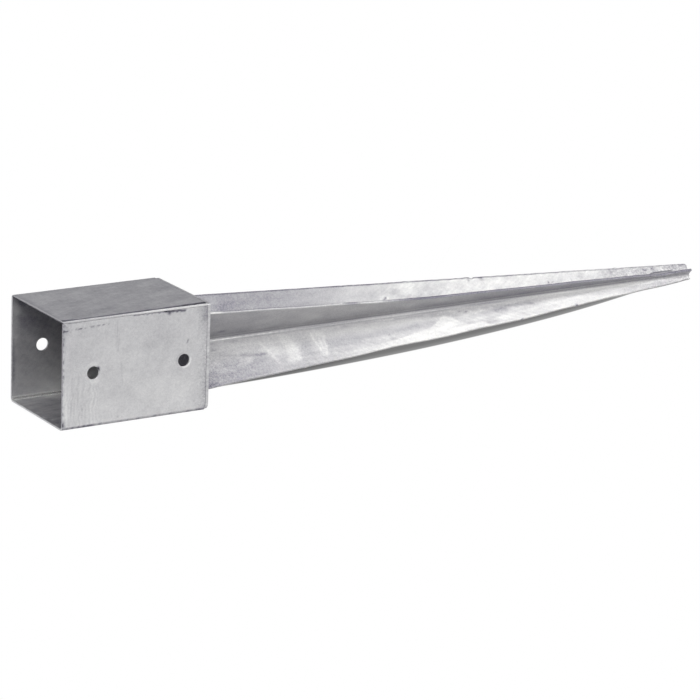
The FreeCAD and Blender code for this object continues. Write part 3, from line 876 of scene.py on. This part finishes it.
# Streaks across the fin, and close along the valley a painted highlight beside painted shade.
lower_streaks_and_valley_shade = (
    (152, 6.4, 172, 6.2, 0.8, -0.1), (332, 2.8, 382, 6.2, 0.7, 0.13), (332, 4.6, 384, 7.6, 0.8, -0.13),
    (384, 6.6, 416, 6.8, 1, -0.14), (487, 24, 497, 24.5, 2.4, -0.2), (500, 5.5, 525, 6.2, 1.5, 0.08),
    (500, 11, 512, 11.5, 2.6, -0.22), (515, 9.2, 547, 10, 1.9, -0.17),
    (690, 2.2, 733, 2.4, 752, 1, 1.8, -0.22))
lower_tone += strokes(u, ragged_v, *lower_streaks_and_valley_shade)
lower_pits = (
    (179, 13, 3.5, 1.1, -0.2), (181.5, 6.4, 2.5, 1.1, -0.2), (204, 6.4, 4, 1.1, -0.22),
    (371, 22.6, 1, 0.8, -0.25), (383, 5.2, 2.2, 0.9, -0.28), (401, 4.6, 1.8, 1.1, -0.25),
    (459.5, 8, 1.2, 0.7, -0.35), (466.7, 8.9, 1.4, 0.9, -0.5), (484, 10.4, 1.2, 0.9, 0.3),
    (527, 25.4, 1.3, 0.9, -0.9), (597, 18.4, 1.3, 0.8, -0.9))
lower_clouds = (
    (163.5, 48.5, 8, 3, -0.12), (171, 30, 6, 4, 0.12), (178, 29, 9, 10, 0.06), (213, 24.2, 2.6, 0.9, -0.1),
    (226, 31, 8, 7, -0.06), (261, 5.4, 4, 0.9, -0.12), (276.5, 21, 7.5, 8, -0.17), (295, 11, 9, 4, 0.07),
    (327, 6.9, 5, 1, -0.14), (350, 30, 16, 4, -0.06), (374, 27.9, 3.5, 1.5, -0.18),
    (378, 24, 1.2, 0.8, -0.18), (418, 17, 8, 4, -0.06), (437, 12.5, 3.5, 1.8, 0.06),
    (450, 19, 3, 2.5, -0.05), (455, 13, 6, 2.4, -0.12), (475, 11, 8, 2.5, 0.05), (488, 17, 6, 3, -0.05),
    (490, 9.5, 4, 2.2, -0.12), (495, 12.6, 11, 2.8, -0.12), (521, 9, 3, 5, 0.07), (549, 10.5, 9, 2.4, -0.1),
    (551, 18, 6, 2.5, -0.13), (560, 17, 12, 3, -0.04), (646, 1.4, 10, 1.6, -0.09), (668, 8, 14, 2.5, -0.07),
    (669, 1, 10, 1.6, -0.12))
lower_tone += patches(ragged_u, ragged_v, *lower_pits, *lower_clouds)
smeary = band(400, 440, 560, 640, u)
lower_tone += (0.035 + 0.04 * smeary) * ripple(86, u / 10, reach_down / 2.2)
lower_tone += (0.03 + 0.05 * smeary) * ripple(87, u / 3, reach_down / 1.4)
lower_tone += 0.12 * smeary * ease(0.2, 0.7, ripple(88, u / 1.6, reach_down)) * ease(16, 8, reach_down)
crackle_band = band(236, 260, 380, 410, u) * ease(26, 34, reach_down + (u - 236) * 0.06)
lower_tone += 0.08 * crackle_band * ripple(89, (u - reach_down) / 1.2, reach_down / 2)

# In the valley between the two front fins the fold has a painted highlight by the socket and painted
# shade beyond, a brighter painted strip further out, and painted shade deep in the crease and beside it.
bend = developed - (fin_room - fin_line) * 1000
valley_highlight_and_shade = np.interp(u, [150, 200, 250, 290, 330, 360], [0.16, 0.14, -0.04, -0.20, -0.16, 0])
valley_highlight_and_shade = (valley_highlight_and_shade + 0.22 * ease(280, 255, u) * ripple(97, u / 2.4)) * bell(4.6, 0.8, bend)
valley_highlight_and_shade += 0.14 * ease(440, 520, u) * ease(705, 670, u) * band(2.4, 3.8, 6.5, 9.5, bend)
valley_highlight_and_shade -= 0.38 * bell(497, 32, u) * band(3.0, 4.2, 5.2, 7.4, bend) + 0.30 * bell(1.0, 1.9, bend)
valley_highlight_and_shade -= 0.16 * bell(6.6, 0.8, bend) * ease(150, 260, u) * ease(470, 420, u)
front_tone = shown * (on_upper * upper_tone_and_shade + on_lower * lower_tone + valley_highlight_and_shade) - (1 - shown) * 0.10
front_tone -= 0.16 * ease(2.4, 1.0, front_inset) * bell(321, 8, u)
front_tone = front_tone * (1 - upper_rim) + upper_rim * rim_tone
root_specks = on_lower * (0.20 * ease(340, 280, u) + 0.45 * ease(240, 150, u) * ease(10, 30, reach_down))
paint(front, front_sheet, front_tone, 0.05 + 0.5 * ease(640, 705, u) + root_specks)

# The upper back fin is darker by the socket and lighter from the middle on, partly the zinc's own tone and
# partly painted light and shade. Its free edge is dark, and so is the back of the angle.
u, developed, depth = (back_sheet * 1000).T
ragged_u = u + 1.2 * ripple(91, u / 3, back_up / 2.5)
ragged_v = back_up + 0.8 * ripple(92, u / 2.5, back_up / 1.5)
fine = ripple(93, u / 1.2, back_up / 0.9)
back_tone_light_shade = np.interp(u, [150, 210, 290, 350, 405, 520, 580, 641, 704, 750],
                      [-0.27, -0.27, -0.21, -0.03, 0.10, 0.09, 0.05, 0.03, -0.05, -0.10])
cloudy = ease(330, 400, u)
back_tone_light_shade += (0.03 + 0.04 * cloudy) * ripple(94, u / 8, back_up / 3)
back_tone_light_shade += (0.02 + 0.05 * cloudy) * ripple(95, u / 2.5, back_up / 1.3)
back_tone_light_shade += 0.11 * ease(620, 660, u) * ripple(98, u / 1.6, back_up / 1.6)
back_pits = (
    (381, 15.9, 1.2, 0.7, -0.6), (382.2, 17.4, 1.1, 0.9, -0.7), (484, 24.6, 1.8, 2.2, -0.36),
    (489.5, 25.6, 1.8, 1.2, 0.25), (499.5, 24.6, 2.5, 1.6, -0.4), (574.5, 10.8, 1.1, 1.6, -0.5),
    (581, 10.2, 1, 0.8, -0.4), (604, 9.6, 1.2, 0.9, -0.35), (653.5, 13, 1.8, 4, -0.32),
    (660.5, 15.6, 1.7, 1, -0.4), (696, 9.8, 2, 1.4, -0.42), (706, 10, 1.5, 3, -0.2),
    (741, 9.5, 1.5, 1.6, -0.3))
back_clouds = (
    (203, 24, 8, 5, -0.06), (205, 30, 6, 5, -0.06), (215, 33, 10, 5, -0.05), (250, 32, 3, 8, 0.06),
    (268, 28, 9, 6, 0.04), (367, 26, 10, 4, -0.07), (370, 20, 8, 5, -0.05), (385, 16.5, 2, 1.2, 0.12),
    (400, 19, 8, 4, -0.06), (405, 16.5, 9, 2.2, -0.1), (415, 25, 9, 5, 0.09), (422, 14.5, 14, 2.6, -0.14),
    (434, 20, 5, 7, -0.08), (439, 20, 13, 6, -0.13), (455, 17.5, 4, 3, -0.18), (504, 10.5, 5, 4, 0.09),
    (542, 13, 10, 5, 0.06), (592, 9.5, 8, 5, 0.06), (611, 9, 8, 5, 0.06), (612, 11.5, 16, 1.8, -0.08),
    (645, 15, 2, 2.5, -0.08), (660, 12, 3, 4, -0.1), (718, 9, 4, 2, 0.13), (729, 11.2, 4, 2.5, 0.14),
    (733, 10.5, 3.5, 1.5, -0.14))
back_tone_light_shade += patches(ragged_u, ragged_v, *back_pits, *back_clouds)
edge_dark = np.interp(u, [150, 300, 360, 480, 560, 650, 750], [0.15, 0.30, 0.45, 0.45, 0.35, 0.15, 0.10])
back_tone_light_shade -= edge_dark * ease(2.3, 0.9, back_inset) * (1 + 0.4 * fine)
front_side = ease(-0.8, 0.3, depth) * ease(2, 5, back_up)
back_tone_light_shade = back_tone_light_shade * front_side + (1 - front_side) * (0.05 * ripple(96, u / 12, back_down / 5) - 0.08)
paint(back, back_sheet, back_tone_light_shade, 0.05 + 0.9 * ease(625, 690, u) + 0.20 * ease(330, 220, u))
spike_zinc = zinc_finish("galvanised_spike", (0.4, 1.0, 1.0), 0.45, Dull=(0.22, 0.213, 0.256, 1.0),
                         Bright=(0.93, 0.93, 0.888, 1.0), Clouds=0.26, Flecks=0.26, Crystals=0.02)
front.data.materials.append(spike_zinc)
back.data.materials.append(spike_zinc)

# Welds. Rippled beads under the zinc: two along the root of each fin, stitches in the grooves above and
# below the spine, and three inside the socket along its seam.
root_bead_radius = 0.0021
root_bead_pitch = 0.0016
root_bead_inset = 0.006
root_bead_rise = 0.0009
spine_bead_radius = 0.0030
spine_bead_pitch = 0.0022
spine_bead_length = 0.030
spine_bead_margin = 0.022
spine_bead_rise = 0.0015
spine_bead_count = 4
seam_bead_radius = 0.0013
seam_bead_pitch = 0.0014
seam_bead_length = 0.018
seam_bead_margin = 0.014
seam_bead_inset = 0.0005
seam_bead_count = 3
bead_rounding = 1.6


def weld_bead(start, end, radius, pitch, seed):
    """A closed bead along a line. Its radius swells and dips once a pitch, later at the sides than on the
    middle, as the pool sets, and falls to a pole at either end as a quarter of an ellipse.

    Gives the points, the quads and the fans, and the sheet coordinates (along, around, 0)."""
    start, end = np.array(start), np.array(end)
    length = np.linalg.norm(end - start)
    axis = (end - start) / length
    across = np.cross(axis, (0.0, 0.6, 0.8) if abs(axis[0]) > 0.9 else (1.0, 0.0, 0.0))
    across = across / np.linalg.norm(across)
    upward = np.cross(axis, across)
    rounds, slices = 20, max(24, int(length / (pitch / 7)))
    place = (1 - np.cos(np.linspace(0, np.pi, 9))[1:-1]) / 2
    rounded = radius * bead_rounding
    place = np.sort(np.concatenate([place * rounded, length - place[::-1] * rounded,
                                    np.linspace(rounded, length - rounded, slices)]))[:, None]
    turn = np.linspace(0, 2 * np.pi, rounds, endpoint=False)[None, :]
    into = np.clip(np.minimum(place, length - place) / rounded, 0, 1)
    swell = 1 - 0.10 * (0.5 + 0.5 * np.cos(2 * np.pi * (place / pitch + 0.5 * np.cos(turn) ** 2)))
    swell = swell + 0.03 * ripple(seed, place / 0.006, np.cos(turn) * 1.5)
    size = radius * np.sqrt(1 - (1 - into) ** 2) * np.minimum(swell, 1.0)
    points = start + place[..., None] * axis + size[..., None] * (
        np.cos(turn)[..., None] * across + np.sin(turn)[..., None] * upward)
    quads, fans = tube_faces(*size.shape)
    flat = np.stack([place + 0 * turn, radius * turn + 0 * place, 0 * size], axis=-1).reshape(-1, 3)
    flat = np.concatenate([flat, [[0, 0, 0], [length, 0, 0]]])
    return np.concatenate([points.reshape(-1, 3), [start, end]]), quads, fans, flat


def weld_piece(name, node, lines, radius, pitch):
    """One object of all the beads along the given lines, each (start, end) on the spike's axis."""
    points, quads, fans, flat, begun = [], [], [], [], 0
    for number, (start, end) in enumerate(lines):
        bead = weld_bead(start, end, radius, pitch, 100 + number)
        points.append(bead[0])
        quads.append(bead[1] + begun)
        fans.append(bead[2] + begun)
        flat.append(bead[3] + (0.05 * number, 0, 0))
        begun += len(bead[0])
    points, flat = np.concatenate(points), np.concatenate(flat)
    piece = outward_mesh(name, tipped(*points.T), np.concatenate(quads), np.concatenate(fans))
    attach(piece, "root")
    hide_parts(node)
    paint(piece, flat, 0.08 * ripple(120, flat[:, 0] * 200, flat[:, 1] * 300) - 0.25, np.full(len(flat), 0.3))
    piece.data.materials.append(weld_zinc)


weld_zinc = zinc_finish("galvanised_weld", (1.0, 1.0, 1.0), 0.6, Clouds=0.20, Flecks=0.16, Crystals=0.0,
                        Matt=0.55)
root_lines = []
fin_roots = ((45, front_upper[0], 1), (135, front_lower[0], -1), (225, back_lower[0], 1),
             (315, back_upper[0], -1))
for turn, root_reach, outer_side in fin_roots:
    turn = math.radians(turn)
    for offset, side in ((fin_offset, 1), (fin_offset - spike_sheet, -1)):
        face = outer_side * (offset + side * root_bead_rise)
        line = []
        for reach in (spike_fold + spike_sheet + root_bead_inset, root_reach - root_bead_inset):
            line.append((socket_length + root_bead_rise, face * math.cos(turn) - reach * math.sin(turn),
                         face * math.sin(turn) + reach * math.cos(turn)))
        root_lines.append(line)
weld_piece("fin_root_welds", "root_welds", root_lines, root_bead_radius, root_bead_pitch)
groove = fin_offset / diagonal + spine_bead_rise
first = socket_length + spine_bead_margin
last = socket_length + spike_length - spine_bead_margin - spine_bead_length
weld_piece("spine_stitches", "spine_welds", [
    ((begun, 0.0, side * groove), (begun + spine_bead_length, 0.0, side * groove))
    for begun in np.linspace(first, last, spine_bead_count) for side in (1, -1)],
    spine_bead_radius, spine_bead_pitch)
corner = half_width - socket_sheet - seam_bead_inset
last = socket_length - plate_thickness - seam_bead_margin - seam_bead_length
weld_piece("seam_stitches", "seam_welds", [
    ((begun, -corner, corner), (begun + seam_bead_length, -corner, corner))
    for begun in np.linspace(seam_bead_margin, last, seam_bead_count)], seam_bead_radius, seam_bead_pitch)
